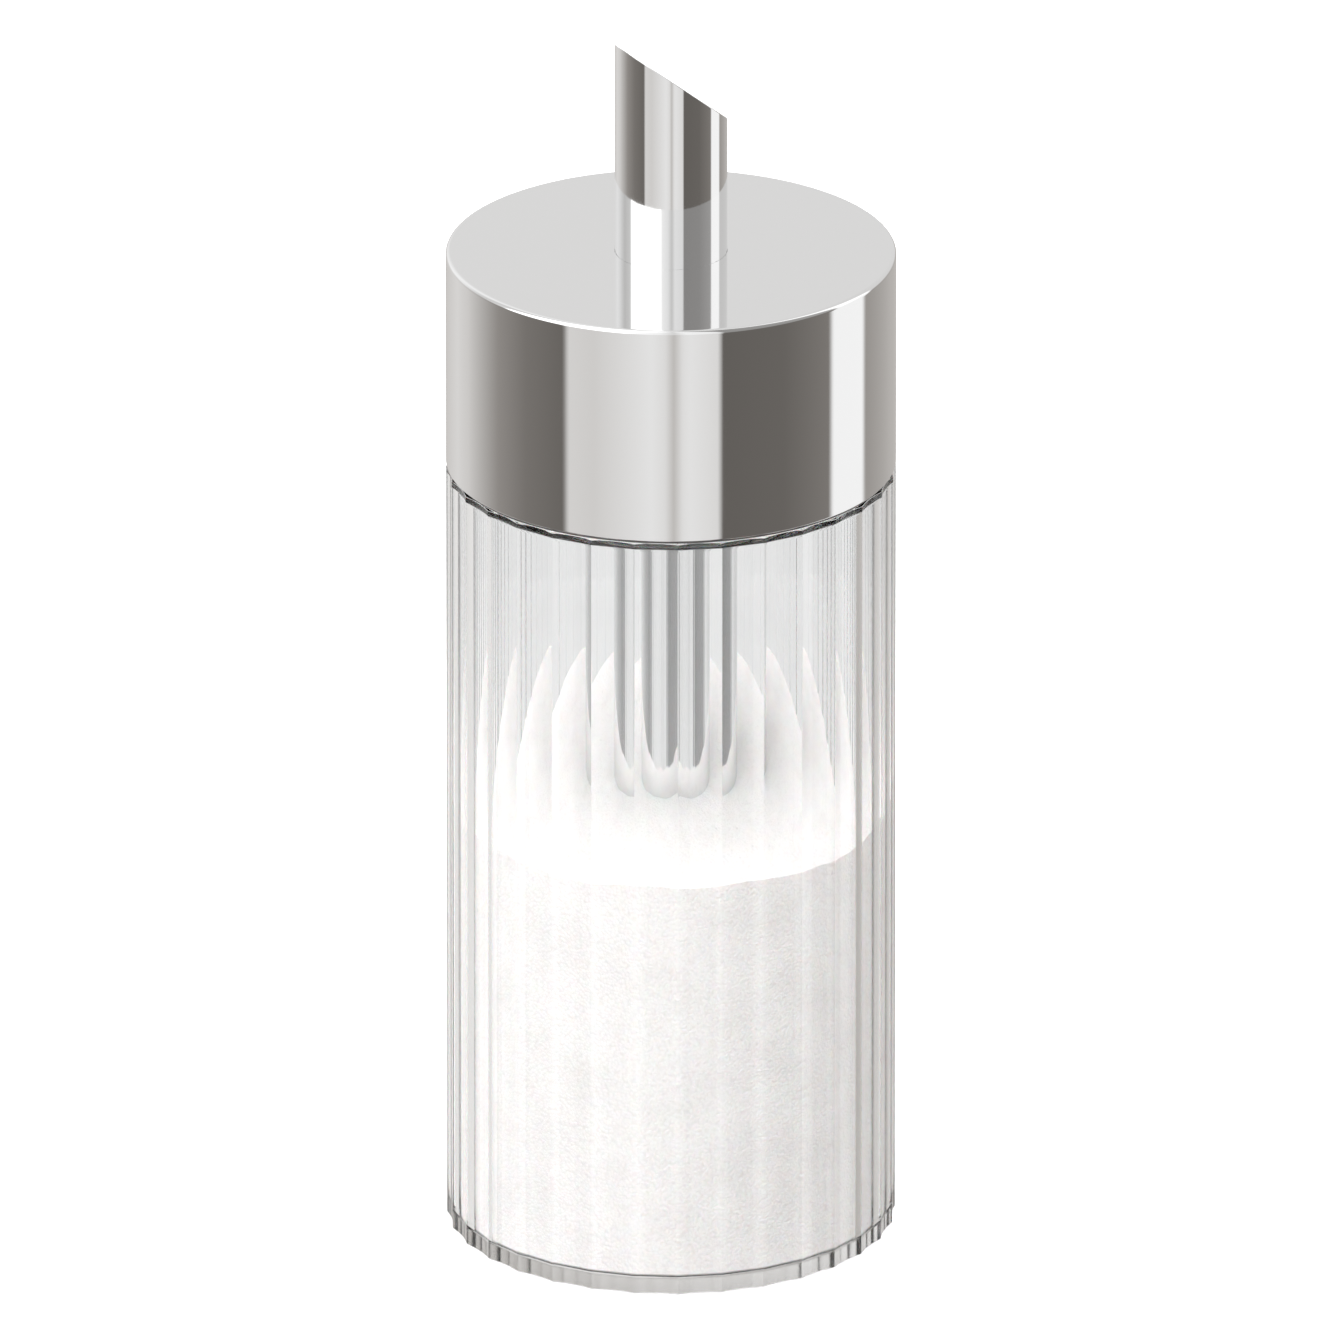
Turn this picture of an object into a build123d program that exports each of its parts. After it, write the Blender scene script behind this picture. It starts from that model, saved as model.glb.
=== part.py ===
from build123d import *
from math import radians, cos, sin
import os

# Sugar dispenser: a fluted glass jar, a steel lid that screws onto its neck,
# and a slanted pouring tube that passes through the lid and stands in the sugar.
# Millimetres and degrees. Z is up, the origin is the centre of the jar's underside,
# and the low side of the spout faces +X.

# Overall
body_diameter = 50.0
lid_top_height = 115.0
lid_height = 25.0
tip_height = 140.0

# Glass jar
flute_count = 32
flute_turn = 6.7
flute_depth = 0.3
jar_wall = 2.1
jar_floor = 1.5
floor_corner = 0.4
foot_edge = 0.3
shoulder_gap = 1.1
shoulder_edge = 0.3
shoulder_ledge = 1.4
shoulder_bore_drop = 1.0
neck_setback = 4.0
neck_rim_depth = 12.0
neck_wall = 2.2
neck_rim_edge = 0.6

# Screw thread, right-handed with a single start
thread_pitch = 4.0
thread_start_turn = 45.0
glass_thread_turns = 1.0
glass_thread_root = 2.4
glass_thread_crest = 1.0
glass_thread_depth = 1.1
glass_thread_rise = 5.6
liner_thread_turns = 1.2
liner_thread_root = 2.2
liner_thread_crest = 0.9
liner_thread_depth = 1.0
thread_clearance = 0.4
thread_sink = 0.3
thread_fade_radius = 12.0

# Steel lid shell, deep drawn and pressed over the liner
shell_sheet = 0.6
shell_top_edge = 0.35
shell_rim_edge = 0.15
hole_clearance = 0.05

# Moulded liner, its foot flange showing under the shell's rim
liner_fit = 0.05
flange_sheet = 0.8
flange_inset = 0.3
flange_lead_in = 0.15
liner_web = 1.5
liner_top_chamfer = 0.8
boss_wall = 0.9
boss_headroom = 2.9
gland_depth = 2.0
rib_count = 8
rib_thickness = 1.2

# Seal between the glass rim and the liner
seal_thickness = 1.5
seal_overhang = 0.1

# Pouring tube
tube_diameter = 12.5
tube_wall = 0.6
spout_slant_rise = 5.0
tube_floor_gap = 12.7
bead_depth = 0.8
bead_half_width = 1.3

# Ring that seals the tube, and the push-on ring that holds it up
ring_section = 1.5
ring_fit = 0.05
lock_sheet = 0.5
lock_margin = 0.3
lock_fit = 0.02
lock_slot_count = 6
lock_slot_width = 0.8
lock_slot_depth = 1.1

# Sugar
sugar_centre_height = 53.0
sugar_slope = 11.4
sugar_slope_turn = 64.0
sugar_wall_clearance = 0.05
sugar_tube_clearance = 0.3
dose_height = 34.0

# Radii and heights that follow from the sizes above
body_radius = body_diameter / 2
neck_radius = body_radius - neck_setback
mouth_radius = neck_radius - neck_wall
tube_radius = tube_diameter / 2
tube_bore_radius = tube_radius - tube_wall
flute_share = 360 / flute_count
flute_floor_radius = body_radius * cos(radians(flute_share / 2)) - flute_depth
jar_bore_radius = flute_floor_radius - jar_wall
lid_rim_height = lid_top_height - lid_height
shoulder_height = lid_rim_height - shoulder_gap
cone_foot_radius = body_radius - shoulder_ledge
neck_top_height = lid_top_height - neck_rim_depth
web_underside = neck_top_height + seal_thickness
web_top = web_underside + liner_web
shell_bore_radius = body_radius - shell_sheet
shell_ceiling = lid_top_height - shell_sheet
boss_top = shell_ceiling - boss_headroom
gland_floor = boss_top - gland_depth
liner_radius = shell_bore_radius - liner_fit
liner_bottom = lid_rim_height - flange_sheet
flange_radius = body_radius - flange_inset
liner_mouth_radius = cone_foot_radius + flange_lead_in
glass_crest_radius = neck_radius + glass_thread_depth
liner_bore_radius = glass_crest_radius + thread_clearance
glass_thread_start = shoulder_height + glass_thread_rise
liner_thread_start = glass_thread_start - thread_pitch / 2
seal_inner_radius = mouth_radius - seal_overhang
seal_outer_radius = neck_radius + seal_overhang
gland_radius = tube_radius + ring_section + 2 * ring_fit
boss_radius = gland_radius + boss_wall
low_side_height = tip_height - 2 * spout_slant_rise
bead_centre = web_underside - bead_half_width
sugar_radius = jar_bore_radius - sugar_wall_clearance


def turned(outline):
    """A turned solid from a closed outline of (radius, height) corners."""
    corners = [(radius, 0, height) for radius, height in outline]
    return revolve(make_face(Polyline(*corners, close=True)), Axis.Z)


def upright_cylinder(radius, low, high):
    """A cylinder on the object's axis between two heights."""
    on_base = (Align.CENTER, Align.CENTER, Align.MIN)
    return Pos(0, 0, low) * Cylinder(radius, high - low, align=on_base)


def polar_point(radius, turn):
    """A point in the base plane at a radius and a turn about the axis."""
    return (radius * cos(radians(turn)), radius * sin(radians(turn)))


def fluted_prism(low, high):
    """The jar's outer form: a prism with a shallow flute per side, its ridges on the radius."""
    flutes = []
    for index in range(flute_count):
        turn = flute_turn + index * flute_share
        flute = ThreePointArc(
            polar_point(body_radius, turn),
            polar_point(flute_floor_radius, turn + flute_share / 2),
            polar_point(body_radius, turn + flute_share),
        )
        flutes.append(flute)
    return Pos(0, 0, low) * extrude(make_face(flutes), amount=high - low)


def thread_ridge(wall_radius, outward, root, crest, depth, start, turns):
    """A ridge wound on a wall, outward is 1 on a neck and -1 in a bore."""
    path = Helix(thread_pitch, thread_pitch * turns, wall_radius, center=(0, 0, start))
    flank = (root - crest) / (2 * depth)
    half_sunk = root / 2 + thread_sink * flank
    half_crest = crest / 2
    section = Polyline(
        (-outward * thread_sink, -half_sunk),
        (outward * depth, -half_crest),
        (outward * depth, half_crest),
        (-outward * thread_sink, half_sunk),
        close=True,
    )
    plane = Plane(origin=path @ 0, x_dir=(1, 0, 0), z_dir=path % 0)
    return sweep(plane * make_face(section), path=path, is_frenet=True)


def without_blunt_ends(ridge, end_cut, start, turns):
    """The ridge run out gently by a cutter at each end, then turned to where it starts."""
    for end in (0, turns):
        ridge -= Pos(0, 0, start + thread_pitch * end) * Rot(0, 0, 360 * end) * end_cut
    return Rot(0, 0, thread_start_turn) * ridge


def glass_thread():
    """Ridge on the neck, each end run out by a cut that is tangent to the neck."""
    ridge = thread_ridge(
        neck_radius,
        1,
        glass_thread_root,
        glass_thread_crest,
        glass_thread_depth,
        glass_thread_start,
        glass_thread_turns,
    )
    block = Box(
        2 * glass_thread_depth,
        neck_radius,
        thread_pitch,
        align=(Align.MIN, Align.CENTER, Align.CENTER),
    )
    end_cut = Pos(neck_radius, 0, 0) * block
    return without_blunt_ends(ridge, end_cut, glass_thread_start, glass_thread_turns)


def jar():
    """Glass jar: fluted outside, round bore, sloping shoulder, threaded neck, flat underside."""
    body = fluted_prism(0, shoulder_height)
    body = chamfer(body.faces().sort_by(Axis.Z)[-1].edges(), shoulder_edge)
    body = chamfer(body.faces().sort_by(Axis.Z)[0].edges(), foot_edge)
    neck = turned(
        [
            (0, jar_floor),
            (cone_foot_radius, jar_floor),
            (cone_foot_radius, shoulder_height),
            (neck_radius, shoulder_height + cone_foot_radius - neck_radius),
            (neck_radius, neck_top_height - neck_rim_edge),
            (neck_radius - neck_rim_edge, neck_top_height),
            (0, neck_top_height),
        ]
    )
    mouth_step = jar_bore_radius - mouth_radius
    bore_top = shoulder_height - shoulder_bore_drop
    bore = turned(
        [
            (0, jar_floor),
            (jar_bore_radius - floor_corner, jar_floor),
            (jar_bore_radius, jar_floor + floor_corner),
            (jar_bore_radius, bore_top),
            (mouth_radius, bore_top + mouth_step),
            (mouth_radius, neck_top_height - neck_rim_edge),
            (mouth_radius + neck_rim_edge, neck_top_height),
            (0, neck_top_height),
        ]
    )
    return body + neck - bore + glass_thread()


def cap_shell():
    """Polished steel cup with a hole for the tube."""
    cup = upright_cylinder(body_radius, lid_rim_height, lid_top_height)
    cup = chamfer(cup.edges().group_by(Axis.Z)[-1], shell_top_edge)
    cup = chamfer(cup.edges().group_by(Axis.Z)[0], shell_rim_edge)
    hollow = upright_cylinder(shell_bore_radius, lid_rim_height, shell_ceiling)
    tube_hole = upright_cylinder(tube_radius + hole_clearance, shell_ceiling, lid_top_height)
    return cup - hollow - tube_hole


def liner_thread():
    """Inward ridge of the liner, each end run out by a small cylinder."""
    ridge = thread_ridge(
        liner_bore_radius,
        -1,
        liner_thread_root,
        liner_thread_crest,
        liner_thread_depth,
        liner_thread_start,
        liner_thread_turns,
    )
    offset = liner_bore_radius - thread_fade_radius
    end_cut = Pos(offset, 0, 0) * Cylinder(thread_fade_radius, thread_pitch)
    return without_blunt_ends(ridge, end_cut, liner_thread_start, liner_thread_turns)


def cap_liner():
    """Moulded liner: foot flange, threaded skirt, web over the seal, boss and ribs."""
    skirt = upright_cylinder(liner_radius, liner_bottom, shell_ceiling)
    skirt = chamfer(skirt.edges().group_by(Axis.Z)[-1], liner_top_chamfer)
    skirt += upright_cylinder(flange_radius, liner_bottom, lid_rim_height)
    neck_room = turned(
        [
            (0, liner_bottom),
            (liner_mouth_radius, liner_bottom),
            (liner_bore_radius, liner_bottom + liner_mouth_radius - liner_bore_radius),
            (liner_bore_radius, web_underside),
            (0, web_underside),
        ]
    )
    upper_hollow = upright_cylinder(liner_bore_radius, web_top, shell_ceiling)
    liner = skirt - neck_room - upper_hollow
    liner += upright_cylinder(boss_radius, web_top, boss_top)
    rib_length = liner_bore_radius + thread_sink - boss_radius + ring_fit
    rib_height = shell_ceiling - web_top
    rib = Box(rib_length, rib_thickness, rib_height, align=(Align.MIN, Align.CENTER, Align.MIN))
    rib = Pos(boss_radius - ring_fit, 0, web_top) * rib
    for number in range(rib_count):
        liner += Rot(0, 0, 360 * number / rib_count) * rib
    liner -= upright_cylinder(tube_radius + hole_clearance, web_underside, boss_top)
    liner -= upright_cylinder(gland_radius, gland_floor, boss_top)
    return liner + liner_thread()


def seal_ring():
    """Flat soft washer that lies on the glass rim, under the liner's web."""
    ring = upright_cylinder(seal_outer_radius, neck_top_height, web_underside)
    return ring - upright_cylinder(seal_inner_radius, neck_top_height, web_underside)


def dosing_tube():
    """Thin tube with a pressed-out bead that stops it under the liner, its top cut on a slant."""
    low = jar_floor + tube_floor_gap
    high = tip_height + bead_half_width

    def filled(radius):
        return turned(
            [
                (0, low),
                (radius, low),
                (radius, bead_centre - bead_half_width),
                (radius + bead_depth, bead_centre),
                (radius, bead_centre + bead_half_width),
                (radius, high),
                (0, high),
            ]
        )

    tube = filled(tube_radius) - filled(tube_bore_radius)
    above_cut = Polyline(
        (-tube_radius, 0, tip_height),
        (tube_radius, 0, low_side_height),
        (tube_radius, 0, high),
        (-tube_radius, 0, high),
        close=True,
    )
    return tube - extrude(make_face(above_cut), amount=tube_radius, both=True)


def tube_ring():
    """Square-section soft ring in the liner's gland, sealing the tube."""
    low = gland_floor + ring_fit
    high = low + ring_section
    ring = upright_cylinder(tube_radius + ring_fit + ring_section, low, high)
    return ring - upright_cylinder(tube_radius + ring_fit, low, high)


def lock_ring():
    """Push-on sheet ring on the boss, its inner edge slotted into springy teeth."""
    ring = upright_cylinder(boss_radius - lock_margin, boss_top, boss_top + lock_sheet)
    ring -= upright_cylinder(tube_radius + lock_fit, boss_top, boss_top + lock_sheet)
    slot = Box(lock_slot_depth, lock_slot_width, lock_sheet, align=(Align.MIN, Align.CENTER, Align.MIN))
    for number in range(lock_slot_count):
        ring -= Rot(0, 0, 360 * number / lock_slot_count) * Pos(tube_radius, 0, boss_top) * slot
    return ring


def sugar_fill():
    """Sugar up to a sloping top, with the dose that stands inside the tube."""
    heap = upright_cylinder(sugar_radius, jar_floor, lid_rim_height)
    heap = chamfer(heap.edges().group_by(Axis.Z)[0], floor_corner)
    slope = Pos(0, 0, sugar_centre_height) * Rot(0, 0, sugar_slope_turn) * Rot(0, -sugar_slope, 0)
    on_base = (Align.CENTER, Align.CENTER, Align.MIN)
    heap -= slope * Box(2 * body_diameter, 2 * body_diameter, lid_rim_height, align=on_base)
    tube_end = jar_floor + tube_floor_gap
    room = upright_cylinder(
        tube_radius + sugar_tube_clearance, tube_end - sugar_tube_clearance, lid_rim_height
    )
    dose = upright_cylinder(tube_bore_radius - sugar_tube_clearance, jar_floor, dose_height)
    return heap - (room - dose)


nodes = {
    "jar": jar,
    "cap_shell": cap_shell,
    "cap_liner": cap_liner,
    "seal_ring": seal_ring,
    "dosing_tube": dosing_tube,
    "tube_ring": tube_ring,
    "lock_ring": lock_ring,
    "sugar_fill": sugar_fill,
}

if __name__ == "__main__":
    os.makedirs("parts", exist_ok=True)
    for name, make in nodes.items():
        solid = make()
        export_step(solid, f"parts/{name}.step")
        print(name, round(solid.volume, 1), "valid" if solid.is_valid else "NOT VALID")
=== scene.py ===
import logging
import math
from dataclasses import dataclass, field
from enum import Enum

import bmesh
import bpy
from mathutils import Matrix, Vector, noise


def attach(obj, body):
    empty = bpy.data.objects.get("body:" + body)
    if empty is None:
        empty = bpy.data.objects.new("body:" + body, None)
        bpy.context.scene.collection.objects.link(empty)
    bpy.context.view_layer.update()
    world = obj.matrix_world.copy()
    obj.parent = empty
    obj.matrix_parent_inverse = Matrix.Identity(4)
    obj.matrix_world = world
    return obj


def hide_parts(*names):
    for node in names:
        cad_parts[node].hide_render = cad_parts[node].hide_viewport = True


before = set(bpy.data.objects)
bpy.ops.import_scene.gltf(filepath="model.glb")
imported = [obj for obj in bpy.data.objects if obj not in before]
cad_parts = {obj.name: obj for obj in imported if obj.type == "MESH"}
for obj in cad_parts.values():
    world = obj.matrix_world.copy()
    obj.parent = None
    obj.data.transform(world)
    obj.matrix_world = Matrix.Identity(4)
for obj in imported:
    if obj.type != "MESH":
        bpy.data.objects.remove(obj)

logging.basicConfig(level=logging.INFO, format="%(levelname)s %(message)s")
LOG = logging.getLogger("sugar_dispenser")

# Meshes are built in millimetres, and finish_mesh brings them to metres.
MM = 0.001
Z_AXIS = (0.0, 0.0, 1.0)
WELD = 1e-4
NEAR = 1e-3

# The places of the colour sockets on a mix node.
MIX_FIRST = 6
MIX_SECOND = 7
MIX_RESULT = 2

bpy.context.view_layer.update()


class Body(Enum):
    """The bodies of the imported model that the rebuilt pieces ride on."""

    JAR = "jar"
    SEAL = "seal"
    LID = "lid"


class Slot(Enum):
    """The material slots of the record."""

    GLASS = "clear_glass"
    STEEL = "polished_steel"
    LINER = "liner_plastic"
    SILICONE = "seal_silicone"
    SPRING = "spring_steel"
    SUGAR = "sugar"


class Side(Enum):
    """Which way a screw ridge stands off its wall."""

    OUT = 1
    IN = -1


# Node helpers


class NodeBuilder:
    """A node tree and short ways to fill it."""

    def __init__(self, tree: bpy.types.NodeTree) -> None:
        """Empties the tree.

        Args:
            tree: the tree that is filled.
        """
        self.tree = tree
        self.tree.nodes.clear()

    def add(self, kind: str, **values: object) -> bpy.types.Node:
        """Adds a node and sets its inputs and properties.

        Args:
            kind: the node's type name.
            **values: property names, or input names with underscores for spaces.

        Returns:
            The new node.
        """
        node = self.tree.nodes.new(kind)
        for key, value in values.items():
            socket = node.inputs.get(key.replace("_", " "))
            if socket is None:
                setattr(node, key, value)
            else:
                socket.default_value = value
        return node

    def link(self, source: bpy.types.NodeSocket, target: bpy.types.NodeSocket) -> None:
        """Joins two sockets."""
        self.tree.links.new(source, target)

    def parts(self, vector: bpy.types.NodeSocket) -> bpy.types.bpy_prop_collection:
        """Takes a place or a direction apart.

        Args:
            vector: its socket.

        Returns:
            The sockets X, Y and Z.
        """
        split = self.add("ShaderNodeSeparateXYZ")
        self.link(vector, split.inputs["Vector"])
        return split.outputs

    def math(self, operation: str, *sources: bpy.types.NodeSocket | float) -> bpy.types.NodeSocket:
        """Works out a value from others.

        Args:
            operation: the name of the operation.
            *sources: sockets or plain numbers, in order.

        Returns:
            The result's socket.
        """
        node = self.add("ShaderNodeMath", operation=operation)
        for socket, source in zip(node.inputs, sources):
            if isinstance(source, float):
                socket.default_value = source
            else:
                self.link(source, socket)
        return node.outputs[0]

    def spread(self, source: bpy.types.NodeSocket, low: float, high: float,
               start: float = 0.3, end: float = 0.7) -> bpy.types.NodeSocket:
        """Maps a value from one range to another.

        Args:
            source: the value that comes in.
            low: what comes out at the start.
            high: what comes out at the end.
            start: the value taken as the start.
            end: the value taken as the end.

        Returns:
            The mapped value's socket.
        """
        node = self.add("ShaderNodeMapRange")
        node.inputs["From Min"].default_value = start
        node.inputs["From Max"].default_value = end
        node.inputs["To Min"].default_value = low
        node.inputs["To Max"].default_value = high
        self.link(source, node.inputs["Value"])
        return node.outputs["Result"]

    def mix(self, factor: bpy.types.NodeSocket, first: bpy.types.NodeSocket,
            second: bpy.types.NodeSocket | tuple) -> bpy.types.NodeSocket:
        """Blends two colours.

        Args:
            factor: how much of the second colour there is.
            first: the first colour.
            second: the second colour, a socket or a plain colour.

        Returns:
            The blend's socket.
        """
        node = self.add("ShaderNodeMix", data_type="RGBA")
        self.link(factor, node.inputs["Factor"])
        self.link(first, node.inputs[MIX_FIRST])
        if isinstance(second, tuple):
            node.inputs[MIX_SECOND].default_value = second
        else:
            self.link(second, node.inputs[MIX_SECOND])
        return node.outputs[MIX_RESULT]


class Shader(NodeBuilder):
    """One material and the nodes inside it."""

    def __init__(self, name: str) -> None:
        """Makes an empty node material with an output.

        Args:
            name: the material's name.
        """
        self.material = bpy.data.materials.new(name)
        self.material.use_nodes = True
        super().__init__(self.material.node_tree)
        self.output = self.add("ShaderNodeOutputMaterial")

    def position(self) -> bpy.types.NodeSocket:
        """The object coordinates."""
        return self.add("ShaderNodeTexCoord").outputs["Object"]

    def noise(self, scale: float, detail: float = 3.0,
              stretch: tuple | None = None) -> bpy.types.NodeSocket:
        """Adds a noise texture on the object coordinates.

        Args:
            scale: how many features there are in a metre.
            detail: how many octaves the noise has.
            stretch: scale along each axis, for grain that runs one way.

        Returns:
            The noise value's socket.
        """
        texture = self.add("ShaderNodeTexNoise", Scale=scale, Detail=detail)
        place = self.position()
        if stretch is not None:
            mapping = self.add("ShaderNodeMapping", Scale=stretch)
            self.link(place, mapping.inputs["Vector"])
            place = mapping.outputs["Vector"]
        self.link(place, texture.inputs["Vector"])
        return texture.outputs["Fac"]

    def bump(self, height: bpy.types.NodeSocket, distance: float,
             strength: float = 1.0) -> bpy.types.NodeSocket:
        """Adds a bump on a height.

        Args:
            height: the height, from 0 to 1.
            distance: how tall the full height is, in metres.
            strength: how much of it counts.

        Returns:
            The bumped normal's socket.
        """
        node = self.add("ShaderNodeBump", Strength=strength, Distance=distance)
        self.link(height, node.inputs["Height"])
        return node.outputs["Normal"]

    def tint(self, factor: bpy.types.NodeSocket, dark: tuple, light: tuple,
             start: float = 0.3, end: float = 0.7) -> bpy.types.NodeSocket:
        """Maps a value to a colour between two.

        Args:
            factor: the value that comes in.
            dark: the colour at the start.
            light: the colour at the end.
            start: the value where the first colour ends.
            end: the value where the second colour begins.

        Returns:
            The colour's socket.
        """
        ramp = self.add("ShaderNodeValToRGB")
        ramp.color_ramp.elements[0].position = start
        ramp.color_ramp.elements[0].color = (*dark, 1.0)
        ramp.color_ramp.elements[1].position = end
        ramp.color_ramp.elements[1].color = (*light, 1.0)
        self.link(factor, ramp.inputs["Fac"])
        return ramp.outputs["Color"]

    def surface(self, source: bpy.types.NodeSocket) -> bpy.types.Material:
        """Gives the material its surface.

        Args:
            source: the shader that is the surface.

        Returns:
            The finished material.
        """
        self.link(source, self.output.inputs["Surface"])
        return self.material


# Finishes


@dataclass(frozen=True)
class ClearGlass:
    """Pressed clear glass with a fire-polished skin and a finely ground underside."""

    name: str = "clear_pressed_glass"
    slot: Slot = Slot.GLASS
    colour: tuple = (0.982, 0.986, 0.986, 1.0)
    lamp_tint: tuple = (0.95, 0.95, 0.95, 1.0)
    index: float = 1.5
    waves_per_metre: float = 45.0
    wave_stretch: tuple = (1.0, 1.0, 0.25)
    wave_height: float = 0.00001
    ground: float = 0.10
    ground_levels: tuple = (0.00002, 0.00006)

    def material(self) -> bpy.types.Material:
        """Builds the glass.

        Returns:
            The material, which lets the lamps' light through.
        """
        shader = Shader(self.name)
        glass = shader.add("ShaderNodeBsdfPrincipled", Base_Color=self.colour, IOR=self.index)
        glass.inputs["Transmission Weight"].default_value = 1.0
        height = shader.parts(shader.position())["Z"]
        ground = shader.spread(height, self.ground, 0.0, *self.ground_levels)
        shader.link(ground, glass.inputs["Roughness"])
        ripple = shader.noise(self.waves_per_metre, 1.0, self.wave_stretch)
        shader.link(shader.bump(ripple, self.wave_height), glass.inputs["Normal"])
        clear = shader.add("ShaderNodeBsdfTransparent", Color=self.lamp_tint)
        path = shader.add("ShaderNodeLightPath")
        mix = shader.add("ShaderNodeMixShader")
        shader.link(path.outputs["Is Shadow Ray"], mix.inputs[0])
        shader.link(glass.outputs["BSDF"], mix.inputs[1])
        shader.link(clear.outputs["BSDF"], mix.inputs[2])
        return shader.surface(mix.outputs["Shader"])


@dataclass(frozen=True)
class PolishedSteel:
    """Mirror-polished stainless steel with faint hairlines and handling marks."""

    name: str = "polished_stainless_steel"
    slot: Slot = Slot.STEEL
    colour: tuple = (0.80, 0.80, 0.80, 1.0)
    smooth: float = 0.025
    smudged: float = 0.075
    smudge_range: tuple = (0.35, 0.8)
    smudges_per_metre: float = 60.0
    hairs_per_metre: float = 900.0
    hair_stretch: tuple = (1.0, 1.0, 9.0)
    hairline_height: float = 0.0000004

    def material(self) -> bpy.types.Material:
        """Builds the polished steel.

        Returns:
            The material.
        """
        shader = Shader(self.name)
        steel = shader.add("ShaderNodeBsdfPrincipled", Base_Color=self.colour, Metallic=1.0)
        smudges = shader.noise(self.smudges_per_metre, 4.0)
        rough = shader.spread(smudges, self.smooth, self.smudged, *self.smudge_range)
        shader.link(rough, steel.inputs["Roughness"])
        hairs = shader.noise(self.hairs_per_metre, 2.0, self.hair_stretch)
        shader.link(shader.bump(hairs, self.hairline_height), steel.inputs["Normal"])
        return shader.surface(steel.outputs["BSDF"])


@dataclass(frozen=True)
class Mottled:
    """A material whose colour and sheen drift a little, with a fine grain."""

    name: str
    slot: Slot
    dark: tuple
    light: tuple
    roughness: tuple
    clouds_per_metre: float
    grains_per_metre: float
    grain_height: float
    grain_strength: float = 1.0
    grain_detail: float = 2.0
    stretch: tuple | None = None
    metallic: float = 0.0
    index: float = 1.5
    milkiness: float = 0.0
    milk_depth: float = 0.0015

    def material(self) -> bpy.types.Material:
        """Builds the material.

        Returns:
            The material.
        """
        shader = Shader(self.name)
        body = shader.add("ShaderNodeBsdfPrincipled", Metallic=self.metallic, IOR=self.index)
        body.inputs["Subsurface Weight"].default_value = self.milkiness
        body.inputs["Subsurface Scale"].default_value = self.milk_depth
        cloud = shader.noise(self.clouds_per_metre, 3.0, self.stretch)
        shader.link(shader.tint(cloud, self.dark, self.light), body.inputs["Base Color"])
        shader.link(shader.spread(cloud, *self.roughness), body.inputs["Roughness"])
        grain = shader.noise(self.grains_per_metre, self.grain_detail, self.stretch)
        normal = shader.bump(grain, self.grain_height, self.grain_strength)
        shader.link(normal, body.inputs["Normal"])
        return shader.surface(body.outputs["BSDF"])


# Dark grey moulded plastic with a fine spark-eroded texture
MOULDED_PLASTIC = Mottled(
    name="dark_moulded_plastic",
    slot=Slot.LINER,
    dark=(0.062, 0.058, 0.055),
    light=(0.080, 0.075, 0.071),
    roughness=(0.34, 0.48),
    clouds_per_metre=90.0,
    grains_per_metre=4500.0,
    grain_height=0.00002,
    grain_strength=0.5,
    index=1.49,
)

# Soft milky food-grade silicone
SILICONE = Mottled(
    name="milky_silicone",
    slot=Slot.SILICONE,
    dark=(0.66, 0.66, 0.63),
    light=(0.76, 0.76, 0.74),
    roughness=(0.45, 0.62),
    clouds_per_metre=160.0,
    grains_per_metre=3000.0,
    grain_height=0.00001,
    grain_strength=0.4,
    index=1.41,
    milkiness=0.35,
)

# Rolled spring steel strip, satin, with a fine grain along the roll
SPRING_STEEL = Mottled(
    name="rolled_spring_steel",
    slot=Slot.SPRING,
    dark=(0.50, 0.50, 0.51),
    light=(0.62, 0.62, 0.62),
    roughness=(0.26, 0.40),
    clouds_per_metre=1800.0,
    grains_per_metre=1800.0,
    grain_height=0.000002,
    grain_detail=3.0,
    stretch=(0.05, 1.0, 1.0),
    metallic=1.0,
)


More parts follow.
